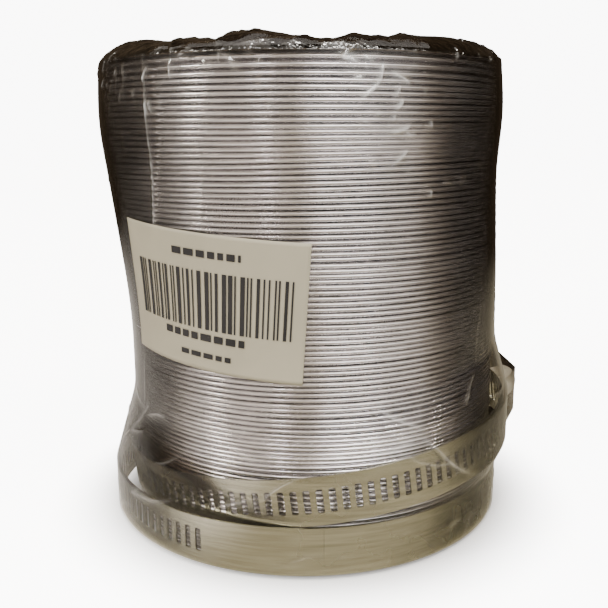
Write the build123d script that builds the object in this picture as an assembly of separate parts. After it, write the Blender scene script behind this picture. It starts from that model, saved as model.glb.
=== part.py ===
from build123d import *
import math
import os

# A compressed 4 inch foil air duct with its two hose clamps, shrink film and paper label.
# Millimetres. +Z runs up the duct's axis, the origin is the centre of its bottom rim, and -Y is the front.

# Duct: a wire coil in pleated foil, pushed together, in sections that draw apart
SECTION_COUNT = 16
TURNS_PER_SECTION = 6
TURN_PITCH = 1.32
DUCT_OUTER_RADIUS = 53.0
WIRE_RADIUS = 0.5
WIRE_CLEARANCE = 0.02
FOIL_THICKNESS = 0.12
SEAM_WIDTH = 0.18
PLEAT_INNER_RADIUS = 42.0
PLEAT_PARTING = 0.08
CUFF_BORE_RADIUS = 50.8
CUFF_WALL = 0.7

# Worm-drive clamps, each drawn round its own axis with the housing at +X
BAND_WIDTH = 12.7
BAND_THICKNESS = 0.6
UPPER_BAND_INNER_RADIUS = 55.9
LOWER_BAND_INNER_RADIUS = 56.6
BAND_HINGE_GAP = 0.03
TUCK_DEPTH = 0.85
TUCK_START_ANGLE = -5.0
TUCK_END_ANGLE = 26.0
TUCK_RAMP_ANGLE = 4.0
TAIL_END_ANGLE = 22.0
SCREW_LEAD = 3.2
UPPER_SLOTS_BEFORE_HOUSING = 50
LOWER_SLOTS_BEFORE_HOUSING = 45
SLOTS_AFTER_HOUSING = 5
SLOT_WIDTH = 1.7
SLOT_LENGTH = 6.35
SLOT_CORNER = 0.5

# Worm screw, its axis standing over the band and running along +Y
SCREW_RISE = 4.0
THREAD_RADIUS = 4.45
THREAD_ROOT_RADIUS = 3.5
THREAD_TURNS = 3
THREAD_CREST = 0.7
THREAD_ROOT_WIDTH = 1.2
ROOT_HALF_LENGTH = 5.1
NECK_RADIUS = 2.4
PILOT_RADIUS = 1.8
SCREW_HEAD_START = 7.0
SCREW_HEAD_LENGTH = 3.8
SCREW_HEAD_ACROSS_FLATS = 7.0
DRIVER_SLOT_WIDTH = 1.1
DRIVER_SLOT_DEPTH = 1.8
RUNNING_CLEARANCE = 0.05

# Housing: a channel round the band under a tunnel for the screw
SHEET = 0.8
HOUSING_HALF_ANGLE = 6.6
HOUSING_HALF_LENGTH = 6.5
BAND_EDGE_GAP = 0.1
STRAP_GAP = 0.02
TUNNEL_RADIUS = 4.75
LIP_RISE = 0.4

# Where the two clamps lie round the duct's foot: the upper one leans, the lower one lies flat and upside down
UPPER_CLAMP_CENTRE = (1.3, 0.0)
UPPER_CLAMP_HEIGHT = 21.7
UPPER_CLAMP_LEAN = (0.9, -6.8)
UPPER_CLAMP_BEARING = 18.0
LOWER_CLAMP_CENTRE = (-2.4, 0.3)
LOWER_CLAMP_HEIGHT = 7.4
LOWER_CLAMP_BEARING = 95.0

# Shrink film and label
FILM_THICKNESS = 0.25
FILM_HEM_HEIGHT = 1.0
FILM_FOOT_RADIUS = 60.3
FILM_FOOT_TOP = 15.0
FILM_SHOULDER_RADIUS = 58.9
FILM_SHOULDER_HEIGHT = 36.0
FILM_WAIST_RADIUS = 53.6
FILM_WAIST_HEIGHT = 45.0
FILM_RIM_HEIGHT = 127.4
FILM_LIP_HEIGHT = 130.6
FILM_LIP_SLOPE = 1.8
FILM_CROWN = 0.8
FILM_MOUTH_RADIUS = 43.0
BUMP_RADIUS = 68.0
BUMP_FRONT = 9.0
BUMP_BACK = 12.5
UPPER_BUMP_HEIGHT = 38.0
LOWER_BUMP_HEIGHT = 16.0
LABEL_WIDTH = 53.0
LABEL_HEIGHT = 34.5
LABEL_THICKNESS = 0.15
LABEL_GAP = 0.05
LABEL_BEARING = 240.3
LABEL_CENTRE_HEIGHT = 68.4
LABEL_TILT = -4.0

UPPER_CLAMP_TURN = Rot(*UPPER_CLAMP_LEAN, 0) * Rot(0, 0, UPPER_CLAMP_BEARING)
LOWER_CLAMP_TURN = Rot(0, 0, LOWER_CLAMP_BEARING) * Rot(180, 0, 0)
UPPER_CLAMP_PLACE = Pos(*UPPER_CLAMP_CENTRE, UPPER_CLAMP_HEIGHT) * UPPER_CLAMP_TURN
LOWER_CLAMP_PLACE = Pos(*LOWER_CLAMP_CENTRE, LOWER_CLAMP_HEIGHT) * LOWER_CLAMP_TURN

OCTAGON_TURN = 22.5
BEAD_RADIUS = WIRE_RADIUS + WIRE_CLEARANCE + FOIL_THICKNESS
WIRE_CENTRE_RADIUS = DUCT_OUTER_RADIUS - BEAD_RADIUS
SECTION_HEIGHT = TURNS_PER_SECTION * TURN_PITCH
SLOT_STEP = math.degrees(SCREW_LEAD / (UPPER_BAND_INNER_RADIUS + BAND_THICKNESS / 2))


def polygon(points):
    """A flat face with the given corners."""
    return make_face(Polyline(*points, close=True))


def octagon(across):
    """A regular octagon with a flat on each side, across from flat to flat."""
    return RegularPolygon(across / 2, 8, major_radius=False, rotation=OCTAGON_TURN)


def turn_height(turn):
    """Height of a turn's wire above the bottom of its section."""
    return (turn + 0.5) * TURN_PITCH


def foil_bead(height):
    """The foil's cross-section where it wraps one turn of wire, with its seam on the inner side."""
    seam = Pos(WIRE_CENTRE_RADIUS - BEAD_RADIUS, height) * Rectangle(BEAD_RADIUS, SEAM_WIDTH)
    ring = octagon(2 * BEAD_RADIUS) - octagon(2 * (BEAD_RADIUS - FOIL_THICKNESS))
    return Pos(WIRE_CENTRE_RADIUS, height) * ring - seam


def foil_leg(height, inner_radius):
    """Foil running level from a bead's seam in to inner_radius."""
    outer_radius = WIRE_CENTRE_RADIUS - BEAD_RADIUS + FOIL_THICKNESS
    middle = ((inner_radius + outer_radius) / 2, height)
    return Pos(*middle) * Rectangle(outer_radius - inner_radius, FOIL_THICKNESS)


def foil_fold(bottom, top):
    """The upright inner wall of a pleat."""
    middle = (PLEAT_INNER_RADIUS + FOIL_THICKNESS / 2, (bottom + top) / 2)
    return Pos(*middle) * Rectangle(FOIL_THICKNESS, top - bottom)


def pleated_section():
    """Beads joined by pleats that fold inwards between them, half a pleat at each end."""
    leg_offset = (SEAM_WIDTH + FOIL_THICKNESS) / 2
    profile = Sketch()
    for turn in range(TURNS_PER_SECTION):
        height = turn_height(turn)
        lower_leg = height - leg_offset
        upper_leg = height + leg_offset
        profile += foil_bead(height)
        profile += foil_leg(lower_leg, PLEAT_INNER_RADIUS)
        profile += foil_leg(upper_leg, PLEAT_INNER_RADIUS)
        if turn == 0:
            profile += foil_fold(PLEAT_PARTING / 2, lower_leg + FOIL_THICKNESS / 2)
        if turn == TURNS_PER_SECTION - 1:
            top = SECTION_HEIGHT - PLEAT_PARTING / 2
        else:
            top = height + TURN_PITCH - leg_offset + FOIL_THICKNESS / 2
        profile += foil_fold(upper_leg - FOIL_THICKNESS / 2, top)
    return revolve(Plane.XZ * profile, Axis.Z)


def cuff_section():
    """Beads on a plain sleeve: the pleats of an end are pressed flat so that a 4 inch collar can enter."""
    sleeve_middle = (CUFF_BORE_RADIUS + CUFF_WALL / 2, SECTION_HEIGHT / 2)
    profile = Pos(*sleeve_middle) * Rectangle(CUFF_WALL, SECTION_HEIGHT)
    for turn in range(TURNS_PER_SECTION):
        height = turn_height(turn)
        web_height = height + (SEAM_WIDTH + FOIL_THICKNESS) / 2
        profile += foil_bead(height)
        profile += foil_leg(web_height, CUFF_BORE_RADIUS + CUFF_WALL / 2)
    return revolve(Plane.XZ * profile, Axis.Z)


def wire_section():
    """The turns of wire inside one section, their round section drawn with eight flats."""
    wire = revolve(Plane.XZ * Pos(WIRE_CENTRE_RADIUS, 0) * octagon(2 * WIRE_RADIUS), Axis.Z)
    turns = [Pos(0, 0, turn_height(turn)) * wire for turn in range(TURNS_PER_SECTION)]
    return Compound(turns)


def arc_strip(inner, outer, start, end):
    """Part of a flat ring between two angles in degrees."""
    outer_arc = CenterArc((0, 0), outer, start, end - start)
    inner_arc = CenterArc((0, 0), inner, start, end - start)
    first_end = Line(outer_arc @ 0, inner_arc @ 0)
    second_end = Line(outer_arc @ 1, inner_arc @ 1)
    return make_face([outer_arc, first_end, inner_arc, second_end])


def polar(radius, degrees):
    """A point in the clamp's plane."""
    angle = math.radians(degrees)
    return (radius * math.cos(angle), radius * math.sin(angle))


def band_strip(profile):
    """A flat profile made as wide as the band."""
    return Pos(0, 0, -BAND_WIDTH / 2) * extrude(profile, BAND_WIDTH)


def clamp_band(inner):
    """The plain half of the band, tucked in under the tail where it holds the housing."""
    outer = inner + BAND_THICKNESS
    hinge_angle = 180 - BAND_HINGE_GAP
    ramp_top = TUCK_END_ANGLE + TUCK_RAMP_ANGLE
    ramp = polygon(
        [
            polar(inner - TUCK_DEPTH, TUCK_END_ANGLE),
            polar(outer - TUCK_DEPTH, TUCK_END_ANGLE),
            polar(outer, ramp_top),
            polar(inner, ramp_top),
        ]
    )
    profile = arc_strip(inner, outer, ramp_top, hinge_angle)
    profile += arc_strip(inner - TUCK_DEPTH, outer - TUCK_DEPTH, TUCK_START_ANGLE, TUCK_END_ANGLE)
    profile += ramp
    return band_strip(profile)


def clamp_tail(inner, slots_before_housing):
    """The slotted half of the band, which slides through the housing as the screw turns."""
    outer = inner + BAND_THICKNESS
    profile = arc_strip(inner, outer, -180 + BAND_HINGE_GAP, TAIL_END_ANGLE)
    outline = RectangleRounded(SLOT_LENGTH, SLOT_WIDTH, SLOT_CORNER)
    punch = Pos(inner - 1, 0, 0) * Rot(0, 90, 0) * extrude(outline, BAND_THICKNESS + 2)
    slots = [
        Rot(0, 0, step * SLOT_STEP) * punch
        for step in range(-slots_before_housing, SLOTS_AFTER_HOUSING + 1)
    ]
    return band_strip(profile) - slots


def screw_axis(inner):
    """Places a solid drawn along +Z on the screw's axis, pointing along +Y."""
    return Pos(inner + BAND_THICKNESS + SCREW_RISE, 0, 0) * Rot(-90, 0, 0)


def worm_screw():
    """The screw along +Z, with the middle of its thread at the origin and the thread facing -X there."""
    thread_length = THREAD_TURNS * SCREW_LEAD
    helix = Helix(SCREW_LEAD, thread_length, THREAD_ROOT_RADIUS)
    start = Plane(helix @ 0, x_dir=(1, 0, 0), z_dir=helix % 0)
    depth = THREAD_RADIUS - THREAD_ROOT_RADIUS
    tooth = polygon(
        [
            (-0.2, -THREAD_ROOT_WIDTH / 2),
            (depth, -THREAD_CREST / 2),
            (depth, THREAD_CREST / 2),
            (-0.2, THREAD_ROOT_WIDTH / 2),
        ]
    )
    thread = Pos(0, 0, -thread_length / 2) * sweep(start * tooth, path=helix, is_frenet=True)
    bottom = (Align.CENTER, Align.CENTER, Align.MIN)
    root = Cylinder(THREAD_ROOT_RADIUS, 2 * ROOT_HALF_LENGTH)
    neck = Pos(0, 0, ROOT_HALF_LENGTH) * Cylinder(
        NECK_RADIUS, SCREW_HEAD_START - ROOT_HALF_LENGTH, align=bottom
    )
    pilot_length = HOUSING_HALF_LENGTH + 0.5
    pilot = Pos(0, 0, -pilot_length) * Cylinder(PILOT_RADIUS, pilot_length, align=bottom)
    hexagon = RegularPolygon(SCREW_HEAD_ACROSS_FLATS / 2, 6, major_radius=False)
    head = Pos(0, 0, SCREW_HEAD_START) * extrude(hexagon, SCREW_HEAD_LENGTH)
    head_end = SCREW_HEAD_START + SCREW_HEAD_LENGTH
    driver_slot = Pos(0, 0, head_end) * Box(12, DRIVER_SLOT_WIDTH, 2 * DRIVER_SLOT_DEPTH)
    return root + thread + neck + pilot + head - driver_slot


def clamp_housing(inner):
    """A channel closed round both layers of band, with a tunnel on it that carries the screw."""
    outer = inner + BAND_THICKNESS
    floor_top = inner - TUCK_DEPTH - STRAP_GAP
    floor = floor_top - SHEET
    lip = outer + LIP_RISE
    side = BAND_WIDTH / 2 + BAND_EDGE_GAP
    channel = Pos((floor + lip + SHEET) / 2, 0) * Rectangle(lip + SHEET - floor, 2 * (side + SHEET))
    channel -= Pos((floor_top + lip) / 2, 0) * Rectangle(lip - floor_top, 2 * side)
    channel -= Pos(lip + SHEET / 2, 0) * Rectangle(2 * SHEET, 2 * TUNNEL_RADIUS)
    channel = Rot(0, 0, -HOUSING_HALF_ANGLE) * revolve(
        Plane.XZ * channel, Axis.Z, revolution_arc=2 * HOUSING_HALF_ANGLE
    )

    axis_radius = outer + SCREW_RISE
    wall_foot = lip + SHEET / 4
    leg_height = axis_radius - wall_foot
    wall_outer = TUNNEL_RADIUS + SHEET
    shell = Pos(axis_radius, 0) * Circle(wall_outer)
    shell += Pos(axis_radius - leg_height / 2, 0) * Rectangle(leg_height, 2 * wall_outer)
    shell -= Pos(wall_foot - wall_outer, 0) * Rectangle(2 * wall_outer, 4 * wall_outer)
    bore = Pos(axis_radius, 0) * Circle(TUNNEL_RADIUS)
    bore += Pos(axis_radius - leg_height, 0) * Rectangle(2 * leg_height, 2 * TUNNEL_RADIUS)
    tunnel = extrude(Plane.XZ * (shell - bore), HOUSING_HALF_LENGTH, both=True)
    plate = extrude(Plane.XZ * shell, SHEET / 2, both=True)
    plate_offset = HOUSING_HALF_LENGTH - SHEET / 2
    plates = Pos(0, plate_offset, 0) * plate + Pos(0, -plate_offset, 0) * plate
    neck_hole = Pos(0, 0, plate_offset) * Cylinder(NECK_RADIUS + RUNNING_CLEARANCE, 2 * SHEET)
    pilot_hole = Pos(0, 0, -plate_offset) * Cylinder(PILOT_RADIUS + RUNNING_CLEARANCE, 2 * SHEET)
    holes = screw_axis(inner) * (neck_hole + pilot_hole)
    return channel + tunnel + plates - holes


def film_bump(centre, bearing, start, end, height, grow):
    """The block that the film wraps over a screw housing, from start to end across the housing's bearing."""
    size = (BUMP_RADIUS + grow, end - start + 2 * grow, height + grow + 1)
    middle = (size[0] / 2, (start + end) / 2, size[2] / 2 - 1)
    return Pos(*centre, 0) * Rot(0, 0, bearing) * Pos(*middle) * Box(*size)


def film_body(inset):
    """What the film wraps, drawn smaller than the film's outside by inset."""
    grow = FILM_THICKNESS - inset
    corners = [
        (FILM_FOOT_RADIUS, -1),
        (FILM_FOOT_RADIUS, FILM_FOOT_TOP),
        (FILM_SHOULDER_RADIUS, FILM_SHOULDER_HEIGHT),
        (FILM_WAIST_RADIUS, FILM_WAIST_HEIGHT),
        (FILM_WAIST_RADIUS, FILM_RIM_HEIGHT),
        (FILM_WAIST_RADIUS - FILM_LIP_SLOPE, FILM_LIP_HEIGHT),
    ]
    outline = [(radius + grow, height + grow) for radius, height in corners]
    foot = (0, -1 + grow)
    top = (0, FILM_LIP_HEIGHT + FILM_CROWN + grow)
    body = revolve(Plane.XZ * polygon([foot, *outline, top]), Axis.Z)
    body += film_bump(
        UPPER_CLAMP_CENTRE, UPPER_CLAMP_BEARING, -BUMP_FRONT, BUMP_BACK, UPPER_BUMP_HEIGHT, grow
    )
    body += film_bump(
        LOWER_CLAMP_CENTRE, LOWER_CLAMP_BEARING, -BUMP_BACK, BUMP_FRONT, LOWER_BUMP_HEIGHT, grow
    )
    return body


def shrink_film():
    """One skin over the duct and clamps, open at the top and at the hem."""
    mouth = Pos(0, 0, FILM_LIP_HEIGHT) * Cylinder(FILM_MOUTH_RADIUS, 10)
    below_hem = Pos(0, 0, FILM_HEM_HEIGHT - 10) * Box(200, 200, 20)
    return film_body(0) - film_body(FILM_THICKNESS) - mouth - below_hem


def paper_label():
    """The label, curved round the outside of the film."""
    inner = FILM_WAIST_RADIUS + FILM_THICKNESS + LABEL_GAP
    ring = Cylinder(inner + LABEL_THICKNESS, 60) - Cylinder(inner, 60)
    cutter = Pos(inner, 0, 0) * Rot(LABEL_TILT, 0, 0) * Box(inner, LABEL_WIDTH, LABEL_HEIGHT)
    return Pos(0, 0, LABEL_CENTRE_HEIGHT) * Rot(0, 0, LABEL_BEARING) * (ring & cutter)


parts = {
    "shrink_film": shrink_film(),
    "paper_label": paper_label(),
}

cuff = cuff_section()
pleats = pleated_section()
wires = wire_section()
for number in range(1, SECTION_COUNT + 1):
    place = Pos(0, 0, (number - 1) * SECTION_HEIGHT)
    is_end = number in (1, SECTION_COUNT)
    parts[f"duct_foil_{number:02d}"] = place * (cuff if is_end else pleats)
    parts[f"duct_wire_{number:02d}"] = place * wires

screw = worm_screw()
clamps = {
    "upper_clamp": (UPPER_CLAMP_PLACE, UPPER_BAND_INNER_RADIUS, UPPER_SLOTS_BEFORE_HOUSING),
    "lower_clamp": (LOWER_CLAMP_PLACE, LOWER_BAND_INNER_RADIUS, LOWER_SLOTS_BEFORE_HOUSING),
}
for name, (place, inner, slots_before_housing) in clamps.items():
    parts[f"{name}_band"] = place * clamp_band(inner)
    parts[f"{name}_tail"] = place * clamp_tail(inner, slots_before_housing)
    parts[f"{name}_housing"] = place * clamp_housing(inner)
    parts[f"{name}_screw"] = place * screw_axis(inner) * screw

os.makedirs("parts", exist_ok=True)
for name, solid in parts.items():
    export_step(solid, f"parts/{name}.step")
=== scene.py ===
import math

import bpy
import numpy as np
from mathutils import Matrix, Vector


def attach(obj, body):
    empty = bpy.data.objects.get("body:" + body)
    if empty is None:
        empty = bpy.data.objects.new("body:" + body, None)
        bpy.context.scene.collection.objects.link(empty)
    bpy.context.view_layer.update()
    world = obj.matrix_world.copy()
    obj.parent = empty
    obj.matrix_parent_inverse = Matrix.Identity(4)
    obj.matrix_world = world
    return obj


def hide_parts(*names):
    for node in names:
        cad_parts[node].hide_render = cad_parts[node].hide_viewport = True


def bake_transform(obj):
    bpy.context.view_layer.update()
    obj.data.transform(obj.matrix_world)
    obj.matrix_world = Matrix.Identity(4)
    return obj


# A compressed foil duct in shrink film, with two hose clamps round its foot. Metres, in the CAD frame:
# +Z up the duct's axis, the base at z = 0 and -Y towards the camera.

MM = 0.001

# Duct coil
SECTION_COUNT = 16
TURNS_PER_SECTION = 6
TURN_COUNT = SECTION_COUNT * TURNS_PER_SECTION
FIRST_TURN_HEIGHT = 0.66 * MM
LAST_TURN_HEIGHT = 126.06 * MM
LOOSE_TURNS = 3
LOOSE_SHARE = 1.24
CROWDED_SHARE = 0.95
COIL_RADIUS = 52.4 * MM
BEAD_SIZE = 1.13 * MM
BEAD_CORNER = 0.54 * MM
PLEAT_DEPTH = 5.0 * MM
RING_POINTS = 192
TOP_LEAN = (-3.4 * MM, -0.8 * MM)
TOP_GROWTH = 1.6 * MM
LEAN_START = 50 * MM
LEAN_END = 112 * MM
TILT_DRIFT = 0.38 * MM
TILT_SPAN = 7

# Clamps, as the film lies over them: each band's middle, its outer radius, and the lean of the upper one
BAND_HALF = 6.5 * MM
LOWER_CLAMP_CENTRE = (-2.4 * MM, 0.3 * MM)
LOWER_CLAMP_RADIUS = 57.6 * MM
LOWER_CLAMP_HEIGHT = 7.4 * MM
UPPER_CLAMP_CENTRE = (1.3 * MM, 0.0)
UPPER_CLAMP_RADIUS = 56.9 * MM
UPPER_CLAMP_HEIGHT = 21.7 * MM
UPPER_CLAMP_LEAN = (6.7 * MM, 0.9 * MM)
# Each screw housing: its bearing, the bottom and top of the tent over it, and how far that reaches out
UPPER_HOUSING = (math.radians(19), 20.0 * MM, 34.0 * MM, 66.4 * MM)
LOWER_HOUSING = (math.radians(94), 1.0 * MM, 15.5 * MM, 67.6 * MM)

# Shrink film
FILM_MEAN_RADIUS = 54.0 * MM
FILM_GAP = 0.35 * MM
# How sharply the film turns from one support to the next, per metre
FILM_SHARPNESS = 2500.0
FILM_COLUMNS = 960
FILM_ROWS = 400
FILM_HEM = 1.2 * MM
FILM_RIM = 125.4 * MM
FILM_LIP_REACH = 13.0 * MM
FILM_LIP_RISE = 5.6 * MM
FILM_LIP_CURL = math.radians(105)
GATHER_START = 125.7 * MM
# Painted shade: the film is darkened brown in the pocket between the coil and the clamps, at the left of
# the foot, standing for the shadow there
POCKET_START = math.radians(211)
POCKET_END = math.radians(243)
POCKET_HEIGHTS = (27.0 * MM, 21.5 * MM)
POCKET_HALF = 3.2 * MM
POCKET_SHADE = 0.6
# Height up to which the film lies against the clamps, where its painted edge-on shade is weaker
CLING_TOP = 34.0 * MM
# Creases seen from the front: bearing and slant in degrees, then height, half length,
# half width and rise in mm
# The crests of these creases and of the strewn ones carry painted glints in the film material.
FILM_CREASES = [
    (227, 89, 99, 27, 0.30, 0.40),
    (216, 84, 121, 3, 0.30, 0.25),
    (220, 94, 120, 3, 0.30, 0.25),
    (218, 88, 106, 4, 0.30, 0.20),
    (262, 92, 112, 14, 0.35, 0.12),
    (252, 133, 123.7, 2.6, 0.55, 0.35),
    (278.5, 162, 124.0, 2.2, 0.70, 0.40),
    (280.6, 0, 120.0, 1.4, 0.60, 0.30),
    (286.2, 70, 121.2, 2.0, 0.60, 0.38),
    (283.4, 45, 117.4, 2.9, 0.60, 0.38),
    (291.4, 149, 120.2, 2.8, 0.75, 0.40),
    (290.9, 46, 114.4, 1.6, 0.70, 0.40),
    (289.4, 91, 111.4, 0.8, 0.60, 0.32),
    (291.2, 12, 109.0, 3.2, 0.65, 0.40),
    (294.2, 179, 107.9, 1.8, 0.60, 0.32),
    (300.3, 92, 110.1, 1.0, 0.60, 0.35),
    (292.0, 37, 103.0, 2.4, 0.60, 0.38),
    (301.5, 92, 94.2, 0.9, 0.60, 0.32),
    (350, 88, 70, 34, 0.60, 0.35),
    (346, 91, 82, 12, 0.35, 0.30),
    (293, 148, 39.3, 6.6, 0.50, 0.30),
    (307, 141, 27.2, 9.6, 0.55, 0.35),
    (300, 160, 28.0, 6.6, 0.45, 0.30),
    (318, 44, 43, 5, 0.45, 0.30),
    (262, 35, 24, 5, 0.35, 0.30),
    (268, 12, 6, 4, 0.45, 0.25),
]

# Paper label, laid out in its own width and height
LABEL_BEARING = math.radians(240.3)
LABEL_HEIGHT = 68.4 * MM
LABEL_TILT = math.radians(-4.0)
LABEL_SIZE = (53.5 * MM, 34.5 * MM)


def smooth(x):
    """0 below 0, 1 above 1, and an even ease between."""
    x = np.clip(x, 0.0, 1.0)
    return x * x * (3 - 2 * x)


def make_object(name, vertices, faces, edges=()):
    mesh = bpy.data.meshes.new(name)
    mesh.from_pydata([tuple(v) for v in vertices], list(edges), list(faces))
    mesh.update()
    obj = bpy.data.objects.new(name, mesh)
    bpy.context.scene.collection.objects.link(obj)
    return obj


def shade_smooth(obj):
    obj.data.polygons.foreach_set("use_smooth", [True] * len(obj.data.polygons))


def grid_faces(rows, columns, closed):
    """Quads of a grid of rows x columns points, closed or open along its columns."""
    faces = []
    last = columns if closed else columns - 1
    for row in range(rows - 1):
        for column in range(last):
            here = row * columns + column
            beside = row * columns + (column + 1) % columns
            faces.append((here, beside, beside + columns, here + columns))
    return faces


# ---------------------------------------------------------------- materials


class Nodes:
    """A material's node tree, built a node at a time."""

    def __init__(self, name):
        self.material = bpy.data.materials.new(name)
        self.material.use_nodes = True
        self.tree = self.material.node_tree
        self.tree.nodes.clear()
        self.output = self.add("ShaderNodeOutputMaterial")

    def add(self, kind, **settings):
        node = self.tree.nodes.new(kind)
        for key, value in settings.items():
            setattr(node, key, value)
        return node

    def link(self, source, target):
        self.tree.links.new(source, target)

    def coordinates(self, scale):
        """Row-frame coordinates, scaled along each axis."""
        place = self.add("ShaderNodeTexCoord")
        mapping = self.add("ShaderNodeMapping")
        mapping.inputs["Scale"].default_value = scale
        self.link(place.outputs["Object"], mapping.inputs["Vector"])
        return mapping.outputs["Vector"]

    def noise(self, scale, size, detail=4.0, roughness=0.55):
        node = self.add("ShaderNodeTexNoise")
        node.inputs["Scale"].default_value = size
        node.inputs["Detail"].default_value = detail
        node.inputs["Roughness"].default_value = roughness
        self.link(self.coordinates(scale), node.inputs["Vector"])
        return node.outputs["Fac"]

    def ramp(self, value, stops):
        node = self.add("ShaderNodeValToRGB")
        elements = node.color_ramp.elements
        while len(elements) < len(stops):
            elements.new(0.5)
        for element, (position, colour) in zip(elements, stops):
            element.position = position
            element.color = (*colour, 1.0)
        self.link(value, node.inputs["Fac"])
        return node.outputs["Color"]

    def between(self, value, low, high):
        node = self.add("ShaderNodeMapRange")
        node.inputs["To Min"].default_value = low
        node.inputs["To Max"].default_value = high
        self.link(value, node.inputs["Value"])
        return node.outputs["Result"]

    def bump(self, height, strength, distance):
        node = self.add("ShaderNodeBump")
        node.inputs["Strength"].default_value = strength
        node.inputs["Distance"].default_value = distance
        self.link(height, node.inputs["Height"])
        return node.outputs["Normal"]


def metal(name, dark, light, roughness, grain, grain_size, bump):
    """A metal whose colour and roughness vary along its grain."""
    made = Nodes(name)
    shader = made.add("ShaderNodeBsdfPrincipled")
    shader.inputs["Metallic"].default_value = 1.0
    streaks = made.noise(grain, grain_size, detail=5.0)
    blotches = made.noise((1, 1, 1), 55.0, detail=3.0)
    made.link(made.ramp(streaks, [(0.3, dark), (0.7, light)]), shader.inputs["Base Color"])
    made.link(made.between(blotches, *roughness), shader.inputs["Roughness"])
    made.link(made.bump(streaks, bump, 0.1 * MM), shader.inputs["Normal"])
    made.link(shader.outputs["BSDF"], made.output.inputs["Surface"])
    return made.material


def film_material(name):
    """Thin clear plastic, mirror-like at a glance: darker edge-on and on the lip, partly from its slant
    and folds and partly painted shade, brown with painted shade in the pocket above the clamps, and with
    painted glints along its creases.
    """
    made = Nodes(name)
    facing = made.add("ShaderNodeLayerWeight")
    clinging = made.add("ShaderNodeAttribute", attribute_name="clinging")
    weaker_edge_shade = made.add("ShaderNodeMath", operation="MULTIPLY_ADD")
    weaker_edge_shade.inputs[1].default_value = -0.18
    made.link(clinging.outputs["Fac"], weaker_edge_shade.inputs[0])
    made.link(facing.outputs["Facing"], weaker_edge_shade.inputs[2])
    # Edge-on the film darkens to brown: partly the film seen at a slant, partly painted shade of the
    # dark room seen through it; where it clings to the clamps this shade is weaker.
    edge = made.ramp(
        weaker_edge_shade.outputs["Value"],
        [
            (0.0, (0.97, 0.96, 0.95)),
            (0.64, (0.92, 0.90, 0.87)),
            (0.78, (0.20, 0.165, 0.12)),
            (1.0, (0.035, 0.026, 0.016)),
        ],
    )
    gathered_and_shaded = made.add("ShaderNodeAttribute", attribute_name="gathered_and_shaded")
    creased = made.add("ShaderNodeAttribute", attribute_name="creased")
    # Transparent tint: near black on the lip, partly its folded layers and partly painted shade of the
    # dark room seen through it, and brown where the painted pocket shade lies.
    smoke_and_shade = made.ramp(
        gathered_and_shaded.outputs["Fac"],
        [
            (0.0, (1.0, 1.0, 1.0)),
            (0.7, (0.26, 0.20, 0.14)),
            (1.0, (0.013, 0.0125, 0.012)),
        ],
    )
    tint = made.add("ShaderNodeMix", data_type="RGBA", blend_type="MULTIPLY")
    tint.inputs["Factor"].default_value = 1.0
    made.link(edge, tint.inputs["A"])
    made.link(smoke_and_shade, tint.inputs["B"])
    clear = made.add("ShaderNodeBsdfTransparent")
    made.link(tint.outputs["Result"], clear.inputs["Color"])
    gloss = made.add("ShaderNodeBsdfPrincipled")
    gloss.inputs["Base Color"].default_value = (0.9, 0.88, 0.84, 1.0)
    gloss.inputs["Metallic"].default_value = 1.0
    crinkles = made.noise((1, 1, 0.5), 90.0, detail=2.0, roughness=0.4)
    rough = made.add("ShaderNodeMath", operation="MULTIPLY_ADD")
    rough.inputs[1].default_value = 0.08
    made.link(creased.outputs["Fac"], rough.inputs[0])
    made.link(made.between(crinkles, 0.05, 0.12), rough.inputs[2])
    made.link(rough.outputs["Value"], gloss.inputs["Roughness"])
    # Painted glints: the crests of deep creases are given a white glow.
    crest = made.add("ShaderNodeMath", operation="POWER")
    crest.inputs[1].default_value = 4.0
    made.link(creased.outputs["Fac"], crest.inputs[0])
    gloss.inputs["Emission Color"].default_value = (1.0, 0.98, 0.94, 1.0)
    made.link(made.between(crest.outputs["Value"], 0.0, 2.4), gloss.inputs["Emission Strength"])
    crumples = made.add("ShaderNodeMath", operation="MULTIPLY")
    made.link(made.noise((1, 1, 1), 330.0, detail=2.0, roughness=0.6), crumples.inputs[0])
    crumpled = made.add("ShaderNodeAttribute", attribute_name="crumpled")
    made.link(crumpled.outputs["Fac"], crumples.inputs[1])
    relief = made.add("ShaderNodeMath", operation="MULTIPLY_ADD")
    relief.inputs[1].default_value = 4.0
    made.link(crumples.outputs["Value"], relief.inputs[0])
    made.link(crinkles, relief.inputs[2])
    normal = made.bump(relief.outputs["Value"], 0.3, 0.8 * MM)
    made.link(normal, gloss.inputs["Normal"])
    glance = made.add("ShaderNodeFresnel")
    glance.inputs["IOR"].default_value = 1.33
    made.link(normal, glance.inputs["Normal"])
    # Mirror share: the Fresnel glance, raised along the creases as a painted highlight.
    glance_and_glint = made.add("ShaderNodeMath", operation="MULTIPLY_ADD", use_clamp=True)
    glance_and_glint.inputs[1].default_value = 0.5
    made.link(creased.outputs["Fac"], glance_and_glint.inputs[0])
    made.link(glance.outputs["Fac"], glance_and_glint.inputs[2])
    hazier = made.add("ShaderNodeMath", operation="MULTIPLY_ADD", use_clamp=True)
    hazier.inputs[1].default_value = 0.05
    made.link(crumpled.outputs["Fac"], hazier.inputs[0])
    made.link(glance_and_glint.outputs["Value"], hazier.inputs[2])
    mix = made.add("ShaderNodeMixShader")
    made.link(hazier.outputs["Value"], mix.inputs["Fac"])
    made.link(clear.outputs["BSDF"], mix.inputs[1])
    made.link(gloss.outputs["BSDF"], mix.inputs[2])
    made.link(mix.outputs["Shader"], made.output.inputs["Surface"])
    return made.material


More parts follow.
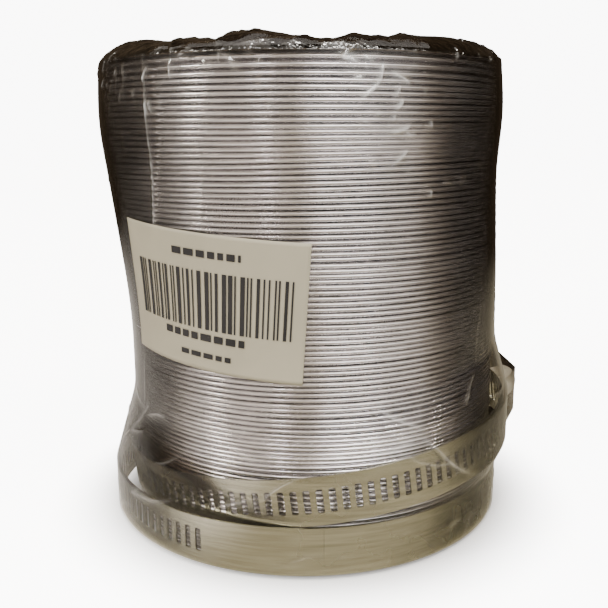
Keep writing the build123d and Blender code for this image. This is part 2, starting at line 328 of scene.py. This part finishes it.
def paper_material(name, dark, light):
    made = Nodes(name)
    shader = made.add("ShaderNodeBsdfPrincipled")
    shader.inputs["Specular IOR Level"].default_value = 0.35
    fibres = made.noise((1, 1, 1), 900.0, detail=5.0)
    clouds = made.noise((1, 1, 1), 70.0, detail=2.0)
    made.link(made.ramp(clouds, [(0.3, dark), (0.7, light)]), shader.inputs["Base Color"])
    made.link(made.between(fibres, 0.5, 0.7), shader.inputs["Roughness"])
    made.link(made.bump(fibres, 0.2, 0.05 * MM), shader.inputs["Normal"])
    made.link(shader.outputs["BSDF"], made.output.inputs["Surface"])
    return made.material


# ---------------------------------------------------------------- duct


def turn_heights():
    """Heights of the turns' wires: the last few stand looser and the lower ones lie tighter."""
    share = np.linspace(CROWDED_SHARE, 1.02, TURN_COUNT - 1)
    share[-LOOSE_TURNS:] = LOOSE_SHARE
    steps = share / share.sum() * (LAST_TURN_HEIGHT - FIRST_TURN_HEIGHT)
    return FIRST_TURN_HEIGHT + np.concatenate([[0.0], np.cumsum(steps)])


def lean(height):
    """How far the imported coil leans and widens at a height: (x, y, extra radius)."""
    share = smooth((height - LEAN_START) / (LEAN_END - LEAN_START))
    return TOP_LEAN[0] * share, TOP_LEAN[1] * share, TOP_GROWTH * share


def slow_tilt(random):
    """Tilt that drifts from turn to turn, so that neighbours stay close but are not quite parallel."""
    knots = random.normal(0, TILT_DRIFT, (TURN_COUNT // TILT_SPAN + 2, 2))
    turns = np.arange(TURN_COUNT) / TILT_SPAN
    return np.column_stack([np.interp(turns, np.arange(len(knots)), knots[:, k]) for k in (0, 1)])


class Coil:
    """The wire's turns as they lie in the pack, each a little out of true."""

    def __init__(self, seed):
        random = np.random.default_rng(seed)
        self.heights = turn_heights()
        self.shift = random.normal(0, 0.10 * MM, (TURN_COUNT, 2))
        self.grow = random.normal(0, 0.09 * MM, TURN_COUNT)
        self.oval = random.normal(0, 0.05 * MM, (TURN_COUNT, 2))
        self.tilt = random.normal(0, 0.03 * MM, (TURN_COUNT, 2)) + slow_tilt(random)
        self.angles = np.linspace(0, 2 * math.pi, RING_POINTS, endpoint=False)

    def turn(self, number, inset=0.0):
        """Points of one turn, inset towards the axis."""
        height = self.heights[number]
        x, y, extra = lean(height)
        a = self.angles
        radius = COIL_RADIUS + extra + self.grow[number] - inset
        radius = radius + self.oval[number, 0] * np.cos(2 * a) + self.oval[number, 1] * np.sin(2 * a)
        rise = self.tilt[number, 0] * np.cos(a) + self.tilt[number, 1] * np.sin(a)
        return np.column_stack(
            [
                x + self.shift[number, 0] + radius * np.cos(a),
                y + self.shift[number, 1] + radius * np.sin(a),
                height + rise,
            ]
        )


def bead_group(material):
    """Geometry nodes that wrap a foil bead round every loose edge and keep the pleats between them."""
    group = bpy.data.node_groups.new("foil_beads", "GeometryNodeTree")
    group.interface.new_socket("Geometry", in_out="INPUT", socket_type="NodeSocketGeometry")
    group.interface.new_socket("Geometry", in_out="OUTPUT", socket_type="NodeSocketGeometry")
    nodes, links = group.nodes, group.links
    source = nodes.new("NodeGroupInput")
    result = nodes.new("NodeGroupOutput")
    neighbours = nodes.new("GeometryNodeInputMeshEdgeNeighbors")
    loose = nodes.new("FunctionNodeCompare")
    loose.data_type = "INT"
    loose.operation = "EQUAL"
    loose.inputs["B"].default_value = 0
    links.new(neighbours.outputs["Face Count"], loose.inputs["A"])
    to_curve = nodes.new("GeometryNodeMeshToCurve")
    links.new(source.outputs["Geometry"], to_curve.inputs["Mesh"])
    links.new(loose.outputs["Result"], to_curve.inputs["Selection"])
    upright = nodes.new("GeometryNodeSetCurveNormal")
    upright.mode = "Z_UP"
    links.new(to_curve.outputs["Curve"], upright.inputs["Curve"])
    outline = nodes.new("GeometryNodeCurvePrimitiveQuadrilateral")
    outline.inputs["Width"].default_value = BEAD_SIZE
    outline.inputs["Height"].default_value = BEAD_SIZE
    rounded = nodes.new("GeometryNodeFilletCurve")
    rounded.mode = "POLY"
    rounded.inputs["Count"].default_value = 3
    rounded.inputs["Radius"].default_value = BEAD_CORNER
    links.new(outline.outputs["Curve"], rounded.inputs["Curve"])
    beads = nodes.new("GeometryNodeCurveToMesh")
    links.new(upright.outputs["Curve"], beads.inputs["Curve"])
    links.new(rounded.outputs["Curve"], beads.inputs["Profile Curve"])
    join = nodes.new("GeometryNodeJoinGeometry")
    links.new(source.outputs["Geometry"], join.inputs["Geometry"])
    links.new(beads.outputs["Mesh"], join.inputs["Geometry"])
    smooth_shade = nodes.new("GeometryNodeSetShadeSmooth")
    links.new(join.outputs["Geometry"], smooth_shade.inputs["Geometry"])
    paint = nodes.new("GeometryNodeSetMaterial")
    paint.inputs["Material"].default_value = material
    links.new(smooth_shade.outputs["Geometry"], paint.inputs["Geometry"])
    links.new(paint.outputs["Geometry"], result.inputs["Geometry"])
    return group


def duct_section(coil, section, group):
    """Six turns as bare circles for their beads, and the pleats up to the next section."""
    first = section * TURNS_PER_SECTION
    vertices, edges, faces = [], [], []
    for number in range(first, first + TURNS_PER_SECTION):
        start = len(vertices)
        vertices.extend(coil.turn(number))
        edges.extend((start + k, start + (k + 1) % RING_POINTS) for k in range(RING_POINTS))
    for number in range(first, min(first + TURNS_PER_SECTION, TURN_COUNT - 1)):
        below = coil.turn(number, inset=0.4 * MM)
        above = coil.turn(number + 1, inset=0.4 * MM)
        fold = (coil.turn(number, inset=PLEAT_DEPTH) + coil.turn(number + 1, inset=PLEAT_DEPTH)) / 2
        start = len(vertices)
        vertices.extend(np.vstack([below, fold, above]))
        faces.extend(
            tuple(start + k for k in face) for face in grid_faces(3, RING_POINTS, closed=True)
        )
    obj = make_object(f"duct_turns_{section + 1:02d}", vertices, faces, edges)
    obj.modifiers.new("beads", "NODES").node_group = group
    return obj


def blend_ends(low_height, low_share, high_height, high_share):
    """Where a blend must start and end for its eased share to match at two heights."""

    def eased_back(share):
        return 0.5 - math.sin(math.asin(1 - 2 * share) / 3)

    low, high = eased_back(low_share), eased_back(high_share)
    length = (high_height - low_height) / (high - low)
    start = low_height - low * length
    return (0, 0, start), (0, 0, start + length)


# ---------------------------------------------------------------- film


def clamp_support(bearing, height, centre, radius, middle):
    """Radius at which film drawn over a clamp lies: on the band, and falling away above and below it."""
    on_band = radius + centre[0] * np.cos(bearing) + centre[1] * np.sin(bearing)
    above = np.clip(height - middle - BAND_HALF, 0, None)
    below = np.clip(middle - BAND_HALF - height, 0, None)
    return on_band - above * 0.30 - below * 0.45


def housing_support(bearing, height, centre_bearing, bottom, top, reach):
    """The tent the film makes over a screw housing."""
    off = np.abs((bearing - centre_bearing + math.pi) % (2 * math.pi) - math.pi)
    side = np.clip(off - math.radians(8), 0, None)
    above = np.clip(height - top, 0, None)
    below = np.clip(bottom - height, 0, None)
    return reach - side * 42 * MM - above * 1.1 - below * 0.5


def film_radius(bearing, height):
    """Radius of the tight film over the coil, the clamps and their housings."""
    x, y, extra = lean(height)
    coil = COIL_RADIUS + BEAD_SIZE / 2 + extra + x * np.cos(bearing) + y * np.sin(bearing)
    lower = clamp_support(bearing, height, LOWER_CLAMP_CENTRE, LOWER_CLAMP_RADIUS, LOWER_CLAMP_HEIGHT)
    lean_x, lean_y = UPPER_CLAMP_LEAN
    upper_middle = UPPER_CLAMP_HEIGHT + lean_x * np.cos(bearing) + lean_y * np.sin(bearing)
    upper = clamp_support(bearing, height, UPPER_CLAMP_CENTRE, UPPER_CLAMP_RADIUS, upper_middle)
    upper_housing = housing_support(bearing, height, *UPPER_HOUSING)
    lower_housing = housing_support(bearing, height, *LOWER_HOUSING)
    supports = np.stack([coil + FILM_GAP, lower, upper, upper_housing, lower_housing])
    highest = supports.max(0)
    return highest + np.log(np.exp((supports - highest) * FILM_SHARPNESS).sum(0)) / FILM_SHARPNESS


def random_creases(random, count, bearings, heights, lengths, widths, rise, slants):
    """Crease lines strewn over part of the film, in the form of FILM_CREASES."""
    return [
        (
            random.uniform(*bearings),
            random.uniform(*slants),
            random.uniform(*heights),
            random.uniform(*lengths),
            random.uniform(*widths),
            random.uniform(0.3, 1.0) * rise,
        )
        for _ in range(count)
    ]


def add_crease(wrinkle, bearing, way_up, crease):
    """Adds one crease's height to the grid, within the patch that it reaches."""
    centre, slant, height, half_length, half_width, rise = crease
    slant = math.radians(slant)
    across = ((bearing[0] - math.radians(centre) + math.pi) % (2 * math.pi) - math.pi) * FILM_MEAN_RADIUS
    rising = way_up[:, 0] - height * MM
    reach = (half_length * 1.3 + 4 * half_width) * MM
    columns = np.flatnonzero(np.abs(across) < reach)
    rows = np.flatnonzero(np.abs(rising) < reach)
    if not len(rows):
        return
    patch = np.ix_(rows, columns)
    x, y = across[columns][None, :], rising[rows][:, None]
    run = (x * math.cos(slant) + y * math.sin(slant)) / (half_length * MM)
    off = (y * math.cos(slant) - x * math.sin(slant)) / (half_width * MM)
    off = off + 0.07 * half_length / half_width * np.sin(run * 2.3 + centre)
    wrinkle[patch] += rise * MM * np.exp(-np.abs(off)) * np.exp(-(run**4))


def pocket_shade(bearing, height):
    """How much painted shade darkens the film in the pocket above the clamps."""
    along = (bearing - POCKET_START) / (POCKET_END - POCKET_START)
    middle = POCKET_HEIGHTS[0] + (POCKET_HEIGHTS[1] - POCKET_HEIGHTS[0]) * along
    ends = smooth(along * 6 + 0.5) * smooth((1 - along) * 4 + 0.5)
    return POCKET_SHADE * ends * np.exp(-(((height - middle) / POCKET_HALF) ** 2))


def film_grid(seed):
    """Points in rows from the hem up the side and over the rim to the lip's edge, and their shades."""
    random = np.random.default_rng(seed)
    bearing = np.linspace(0, 2 * math.pi, FILM_COLUMNS, endpoint=False)[None, :]
    lip_rows = FILM_ROWS // 6
    side_rows = FILM_ROWS - lip_rows
    side = np.linspace(FILM_HEM, FILM_RIM, side_rows)[:, None]
    side_radius = film_radius(bearing, side + 0 * bearing)
    swell = 1.3 * MM * np.exp(-(((side - 114 * MM) / (13 * MM)) ** 2))
    side_radius = side_radius + swell * (1 + 0.25 * np.sin(3 * bearing + 1.2))
    turn = np.linspace(0, 1, lip_rows + 1)[1:, None]
    crest = FILM_LIP_RISE * (
        1
        - 0.12 * np.cos(bearing - 1.5 * math.pi)
        + 0.08 * np.sin(7 * bearing + 2.1)
        + 0.07 * np.sin(13 * bearing)
        + 0.05 * np.sin(23 * bearing + 0.8)
    )
    reach = FILM_LIP_REACH * (1 + 0.06 * np.sin(5 * bearing + 1.0) + 0.05 * np.sin(11 * bearing + 0.4))
    lip_radius = side_radius[-1:, :] - reach * (1 - np.cos(turn * FILM_LIP_CURL))
    lip_height = FILM_RIM + crest * np.sin(turn * FILM_LIP_CURL)
    radius = np.vstack([side_radius, lip_radius])
    height = np.vstack([side + 0 * bearing, lip_height])

    way_up = np.vstack([side, FILM_RIM + turn * FILM_LIP_REACH])
    wrinkle = np.zeros_like(radius)
    fine, wide = (0.35, 0.60), (0.6, 1.3)
    lines = random_creases(random, 24, (280, 322), (92, 126), (0.7, 2.2), fine, 0.34, (-30, 75))
    lines += random_creases(random, 26, (205, 262), (112, 127), (0.7, 2.6), fine, 0.40, (20, 110))
    lines += random_creases(random, 30, (0, 200), (90, 126), (1.0, 5.0), fine, 0.35, (-30, 110))
    lines += random_creases(random, 34, (0, 360), (40, 120), (3, 12), fine, 0.10, (75, 105))
    lines += random_creases(random, 60, (0, 360), (3, 42), (2, 7), fine, 0.22, (-20, 60))
    lines += random_creases(random, 170, (0, 360), (127, 138), (1.5, 5), wide, 0.65, (0, 180))
    for line in FILM_CREASES + lines:
        add_crease(wrinkle, bearing, way_up, line)
    label_off = np.abs((bearing - LABEL_BEARING + math.pi) % (2 * math.pi) - math.pi) * FILM_MEAN_RADIUS
    off_label = np.maximum(label_off - 29 * MM, np.abs(way_up - LABEL_HEIGHT) - 20 * MM)
    wrinkle *= smooth(off_label / (4 * MM) + 1)
    curl = np.clip((way_up - FILM_RIM) / FILM_LIP_REACH, 0, 1) * FILM_LIP_CURL
    radius = radius + wrinkle * np.cos(curl)
    height = height + wrinkle * np.sin(curl)
    points = np.stack([radius * np.cos(bearing), radius * np.sin(bearing), height], axis=-1)
    crumpled = smooth((height - GATHER_START) / (0.8 * MM))
    # The lip's dark tint (partly its folded layers, partly painted shade of the dark room behind) joined
    # with the painted pocket shade.
    gathered_and_shaded = np.maximum(crumpled, pocket_shade(bearing, height))
    # Crease depth, faded on the lip's curl; the film material paints glints and a whiter gloss along it.
    creased = np.clip(np.abs(wrinkle) / (0.5 * MM), 0, 1) * (1 - 0.8 * np.minimum(curl / 0.2, 1))
    clinging = smooth((CLING_TOP - height) / (6 * MM))
    shades = {"gathered_and_shaded": gathered_and_shaded, "crumpled": crumpled, "creased": creased, "clinging": clinging}
    return points.reshape(-1, 3), {name: shade.reshape(-1) for name, shade in shades.items()}


# ---------------------------------------------------------------- label


def label_point(u, v, lift):
    """A point of the label: u along it and v up it from its middle, lift off the film."""
    across = u * math.cos(LABEL_TILT) - v * math.sin(LABEL_TILT)
    up = u * math.sin(LABEL_TILT) + v * math.cos(LABEL_TILT)
    height = LABEL_HEIGHT + up
    bearing = LABEL_BEARING + across / FILM_MEAN_RADIUS
    radius = film_radius(np.array(bearing), np.array(height)) + FILM_GAP + lift
    return (radius * math.cos(bearing), radius * math.sin(bearing), height)


def label_patch(left, right, bottom, top, lift, columns, rows):
    """Points and faces of a rectangle on the label."""
    points = [
        label_point(left + (right - left) * c / columns, bottom + (top - bottom) * r / rows, lift)
        for r in range(rows + 1)
        for c in range(columns + 1)
    ]
    return points, grid_faces(rows + 1, columns + 1, closed=False)


def label_print(name, rectangles, lift):
    """Printed marks, each a thin patch just off the paper."""
    vertices, faces = [], []
    for left, right, bottom, top in rectangles:
        columns = max(1, round((right - left) / (1.5 * MM)))
        points, quads = label_patch(left, right, bottom, top, lift, columns, 6)
        start = len(vertices)
        vertices.extend(points)
        faces.extend(tuple(start + k for k in quad) for quad in quads)
    return make_object(name, vertices, faces)


def bar_rectangles(seed):
    """Upright bars of uneven width that stand for no number."""
    random = np.random.default_rng(seed)
    edge = -21.8 * MM
    rectangles = []
    while edge < 23.4 * MM:
        width = random.choice([0.42, 0.42, 0.8, 1.15]) * MM
        rectangles.append((edge, edge + width, -6.6 * MM, 8.0 * MM))
        edge += width + random.choice([0.45, 0.8, 1.1]) * MM
    return rectangles


def dash_rectangles(seed, middle, length, height, level):
    """A row of short dashes in place of a line of print."""
    random = np.random.default_rng(seed)
    edge = middle - length / 2
    rectangles = []
    while edge < middle + length / 2:
        width = random.uniform(1.4, 3.2) * MM
        rectangles.append((edge, min(edge + width, middle + length / 2), level, level + height))
        edge += width + 0.8 * MM
    return rectangles


# ---------------------------------------------------------------- the object

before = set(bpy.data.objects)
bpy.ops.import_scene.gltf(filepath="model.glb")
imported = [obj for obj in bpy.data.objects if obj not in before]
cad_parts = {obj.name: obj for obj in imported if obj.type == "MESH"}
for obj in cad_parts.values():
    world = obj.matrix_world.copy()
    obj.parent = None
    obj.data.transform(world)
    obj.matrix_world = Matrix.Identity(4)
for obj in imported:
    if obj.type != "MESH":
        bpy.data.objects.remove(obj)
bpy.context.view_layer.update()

foil = metal("foil", (0.72, 0.70, 0.70), (0.90, 0.88, 0.89), (0.15, 0.27), (1, 1, 6), 160.0, 0.2)
# The band steel's grey is its own; its olive tint is a painted reflection of the warm room around it.
band_steel = metal(
    "band_steel", (0.41, 0.395, 0.31), (0.60, 0.59, 0.485), (0.18, 0.34), (1, 1, 20), 60.0, 0.12
)
housing_steel = metal(
    "housing_steel", (0.52, 0.50, 0.45), (0.70, 0.68, 0.63), (0.22, 0.40), (1, 1, 1), 300.0, 0.15
)
screw_zinc = metal(
    "screw_zinc", (0.52, 0.52, 0.50), (0.74, 0.74, 0.70), (0.20, 0.38), (1, 1, 1), 420.0, 0.15
)
film_clear = film_material("film_clear")
paper = paper_material("label_paper", (0.385, 0.352, 0.262), (0.43, 0.393, 0.292))
ink = paper_material("label_ink", (0.012, 0.011, 0.011), (0.022, 0.020, 0.020))

coil = Coil(seed=4)
beads = bead_group(foil)
for section in range(SECTION_COUNT):
    turns = duct_section(coil, section, beads)
    turns.data.materials.append(foil)
    first = section * TURNS_PER_SECTION
    last = min(first + TURNS_PER_SECTION, TURN_COUNT - 1)
    start, end = blend_ends(
        coil.heights[first],
        first / (TURN_COUNT - 1),
        coil.heights[last],
        last / (TURN_COUNT - 1),
    )
    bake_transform(turns)
    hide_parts(f"duct_foil_{section + 1:02d}", f"duct_wire_{section + 1:02d}")

film_points, film_shades = film_grid(seed=11)
film = make_object("film_skin", film_points, grid_faces(FILM_ROWS, FILM_COLUMNS, closed=True))
for name, shade in film_shades.items():
    film.data.attributes.new(name, "FLOAT", "POINT").data.foreach_set("value", shade)
shade_smooth(film)
film.data.materials.append(film_clear)
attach(film, "film")
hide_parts("shrink_film")

half_width, half_height = LABEL_SIZE[0] / 2, LABEL_SIZE[1] / 2
points, faces = label_patch(-half_width, half_width, -half_height, half_height, 0.0, 60, 36)
label = make_object("label_paper", points, faces)
label.modifiers.new("thickness", "SOLIDIFY").thickness = 0.12 * MM
shade_smooth(label)
label.data.materials.append(paper)
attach(label, "film")
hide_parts("paper_label")

marks = {
    "label_bars": bar_rectangles(seed=3),
    "label_top_line": dash_rectangles(5, 1.2 * MM, 19 * MM, 1.7 * MM, 11.4 * MM),
    "label_middle_line": dash_rectangles(6, 0.0, 24 * MM, 1.8 * MM, -9.6 * MM),
    "label_bottom_line": dash_rectangles(7, 1.0 * MM, 15 * MM, 1.3 * MM, -14.0 * MM),
}
for name, rectangles in marks.items():
    mark = label_print(name, rectangles, 0.16 * MM)
    mark.data.materials.append(ink)
    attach(mark, "film")

for which in ("upper_clamp", "lower_clamp"):
    for part, steel in (
        ("band", band_steel),
        ("tail", band_steel),
        ("housing", housing_steel),
        ("screw", screw_zinc),
    ):
        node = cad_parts[f"{which}_{part}"]
        node.data.materials.clear()
        node.data.materials.append(steel)

# ---------------------------------------------------------------- floor, light and camera


def backdrop_material(name, colour, glow):
    """Pale and evenly glowing to the camera except close under the object, where the glow fades out as a
    painted contact shadow; dull and only close by in its reflections, and lighter there to the left as a
    painted pool of light.
    """
    made = Nodes(name)
    path = made.add("ShaderNodeLightPath")
    place = made.add("ShaderNodeTexCoord")
    distance = made.add("ShaderNodeVectorMath", operation="LENGTH")
    made.link(place.outputs["Object"], distance.inputs[0])
    # Painted contact shadow: no glow within 52 mm of the axis, full glow beyond 82 mm.
    clear_of = made.add("ShaderNodeMapRange", interpolation_type="SMOOTHSTEP")
    clear_of.inputs["From Min"].default_value = 52 * MM
    clear_of.inputs["From Max"].default_value = 82 * MM
    clear_of.inputs["To Max"].default_value = glow
    made.link(distance.outputs["Value"], clear_of.inputs["Value"])
    seen = made.add("ShaderNodeBsdfDiffuse")
    seen.inputs["Color"].default_value = (*colour, 1.0)
    light = made.add("ShaderNodeEmission")
    light.inputs["Color"].default_value = (1.0, 0.99, 0.98, 1.0)
    made.link(clear_of.outputs["Result"], light.inputs["Strength"])
    bright = made.add("ShaderNodeAddShader")
    made.link(seen.outputs["BSDF"], bright.inputs[0])
    made.link(light.outputs["Emission"], bright.inputs[1])
    # Painted pool of light: the floor seen in reflections is lighter to the left of the object, lighting
    # the left of the clamps in their reflections.
    across = made.add("ShaderNodeSeparateXYZ")
    made.link(place.outputs["Object"], across.inputs["Vector"])
    to_left = made.add("ShaderNodeMapRange", interpolation_type="SMOOTHSTEP")
    to_left.inputs["From Min"].default_value = -22 * MM
    to_left.inputs["From Max"].default_value = -58 * MM
    made.link(across.outputs["X"], to_left.inputs["Value"])
    dull = made.add("ShaderNodeBsdfDiffuse")
    made.link(
        made.ramp(to_left.outputs["Result"], [(0.0, (0.40, 0.37, 0.28)), (1.0, (1.0, 0.97, 0.93))]),
        dull.inputs["Color"],
    )
    mix = made.add("ShaderNodeMixShader")
    near = made.add("ShaderNodeMapRange", interpolation_type="SMOOTHSTEP")
    near.inputs["From Min"].default_value = 0.08
    near.inputs["From Max"].default_value = 0.60
    made.link(distance.outputs["Value"], near.inputs["Value"])
    gone = made.add("ShaderNodeBsdfTransparent")
    fading = made.add("ShaderNodeMixShader")
    made.link(near.outputs["Result"], fading.inputs["Fac"])
    made.link(dull.outputs["BSDF"], fading.inputs[1])
    made.link(gone.outputs["BSDF"], fading.inputs[2])
    made.link(path.outputs["Is Camera Ray"], mix.inputs["Fac"])
    made.link(fading.outputs["Shader"], mix.inputs[1])
    made.link(bright.outputs["Shader"], mix.inputs[2])
    made.link(mix.outputs["Shader"], made.output.inputs["Surface"])
    return made.material


floor = make_object("floor", [(-4, -4, 0), (4, -4, 0), (4, 4, 0), (-4, 4, 0)], [(0, 1, 2, 3)])
floor.data.materials.append(backdrop_material("floor_paint", (0.85, 0.84, 0.82), 9.0))


def lamp(name, azimuth, elevation, distance, size, radiance, colour):
    """A rectangular lamp aimed at the object, azimuth degrees to the right of the camera's side."""
    a, e = math.radians(azimuth), math.radians(elevation)
    away = Vector((math.sin(a) * math.cos(e), -math.cos(a) * math.cos(e), math.sin(e)))
    data = bpy.data.lights.new(name, "AREA")
    data.shape = "RECTANGLE"
    data.size, data.size_y = size
    data.energy = radiance * size[0] * size[1] * math.pi
    data.color = colour
    light = bpy.data.objects.new(name, data)
    light.location = Vector((0, 0, 0.07)) + away * distance
    light.rotation_euler = (-away).to_track_quat("-Z", "Y").to_euler()
    bpy.context.scene.collection.objects.link(light)


lamp("broad_panel", 24, 42, 1.1, (0.60, 0.45), 5.5, (1.0, 0.97, 0.98))
lamp("glint_strip", 42, 50, 1.2, (0.70, 0.02), 90.0, (1.0, 0.98, 0.95))
lamp("left_strip", -62, 35, 1.2, (0.08, 0.60), 32.0, (1.0, 0.97, 0.90))
lamp("middle_strip", -21, 40, 1.2, (0.05, 0.45), 26.0, (0.98, 0.97, 1.0))
lamp("high_spot", 60, 50, 1.3, (0.09, 0.09), 90.0, (1.0, 0.97, 0.92))
lamp("right_spot", 84, 30, 1.3, (0.07, 0.07), 80.0, (1.0, 0.95, 0.88))
lamp("top_spot", 10, 75, 1.2, (0.12, 0.12), 60.0, (1.0, 0.98, 0.95))

# The room that the metal reflects: brightness by direction round the object, from behind it on the left,
# past the camera in the middle, to behind it on the right, and then by height
ROOM_ROUND = [
    (-180, 0.05),
    (-138, 0.06),
    (-114, 0.10),
    (-94, 0.26),
    (-68, 0.58),
    (-42, 0.42),
    (-14, 0.36),
    (-2, 0.40),
    (14, 0.86),
    (38, 0.88),
    (64, 0.66),
    (76, 0.28),
    (86, 0.11),
    (96, 0.06),
    (120, 0.05),
    (180, 0.03),
]
ROOM_UP = [(-90, 0.18), (-20, 0.30), (4, 0.56), (28, 1.0), (65, 0.95), (90, 0.6)]
ROOM_STRENGTH = 2.7


def room_ramp(tree, value, low, high, stops):
    """Brightness along a range of values, browner where it is dimmer."""
    span = tree.nodes.new("ShaderNodeMapRange")
    span.inputs["From Min"].default_value = low
    span.inputs["From Max"].default_value = high
    ramp = tree.nodes.new("ShaderNodeValToRGB")
    ramp.color_ramp.interpolation = "EASE"
    elements = ramp.color_ramp.elements
    while len(elements) < len(stops):
        elements.new(0.5)
    for element, (position, level) in zip(elements, stops):
        element.position = (position - low) / (high - low)
        element.color = (level, level**1.12, level**1.28, 1.0)
    tree.links.new(value, span.inputs["Value"])
    tree.links.new(span.outputs["Result"], ramp.inputs["Fac"])
    return ramp.outputs["Color"]


def calculate(tree, operation, first, second=None, amount=None):
    node = tree.nodes.new("ShaderNodeMath")
    node.operation = operation
    tree.links.new(first, node.inputs[0])
    if second is not None:
        tree.links.new(second, node.inputs[1])
    if amount is not None:
        node.inputs[1].default_value = amount
    return node.outputs["Value"]


world = bpy.data.worlds.new("room")
bpy.context.scene.world = world
world.use_nodes = True
tree = world.node_tree
tree.nodes.clear()
way = tree.nodes.new("ShaderNodeTexCoord")
split = tree.nodes.new("ShaderNodeSeparateXYZ")
tree.links.new(way.outputs["Generated"], split.inputs["Vector"])
towards_camera = calculate(tree, "MULTIPLY", split.outputs["Y"], amount=-1.0)
round_angle = calculate(tree, "ARCTAN2", split.outputs["X"], second=towards_camera)
round_degrees = calculate(tree, "MULTIPLY", round_angle, amount=180 / math.pi)
up_angle = calculate(tree, "ARCSINE", split.outputs["Z"])
up_degrees = calculate(tree, "MULTIPLY", up_angle, amount=180 / math.pi)
room = tree.nodes.new("ShaderNodeBackground")
tree.links.new(room_ramp(tree, round_degrees, -180, 180, ROOM_ROUND), room.inputs["Color"])
height_level = room_ramp(tree, up_degrees, -90, 90, ROOM_UP)
tree.links.new(calculate(tree, "MULTIPLY", height_level, amount=ROOM_STRENGTH), room.inputs["Strength"])
sky = tree.nodes.new("ShaderNodeBackground")
sky.inputs["Color"].default_value = (1.0, 0.99, 0.98, 1.0)
sky.inputs["Strength"].default_value = 9.6
path = tree.nodes.new("ShaderNodeLightPath")
pick = tree.nodes.new("ShaderNodeMixShader")
out = tree.nodes.new("ShaderNodeOutputWorld")
tree.links.new(path.outputs["Is Camera Ray"], pick.inputs["Fac"])
tree.links.new(room.outputs["Background"], pick.inputs[1])
tree.links.new(sky.outputs["Background"], pick.inputs[2])
tree.links.new(pick.outputs["Shader"], out.inputs["Surface"])

CAMERA_PLACE = (0.0, -239.5 * MM, 110.0 * MM)
CAMERA_LENS = 48.2
CAMERA_PITCH = math.radians(12.33)
CAMERA_YAW = math.radians(-0.62)
CAMERA_ROLL = math.radians(-0.36)

camera_data = bpy.data.cameras.new("camera")
camera_data.lens = CAMERA_LENS
camera_data.sensor_width = 36.0
camera_data.clip_start = 0.01
camera = bpy.data.objects.new("camera", camera_data)
turned = Matrix.Rotation(-CAMERA_YAW, 4, "Z") @ Matrix.Rotation(math.pi / 2 - CAMERA_PITCH, 4, "X")
camera.matrix_world = Matrix.Translation(CAMERA_PLACE) @ turned @ Matrix.Rotation(CAMERA_ROLL, 4, "Z")
bpy.context.scene.collection.objects.link(camera)
bpy.context.scene.camera = camera
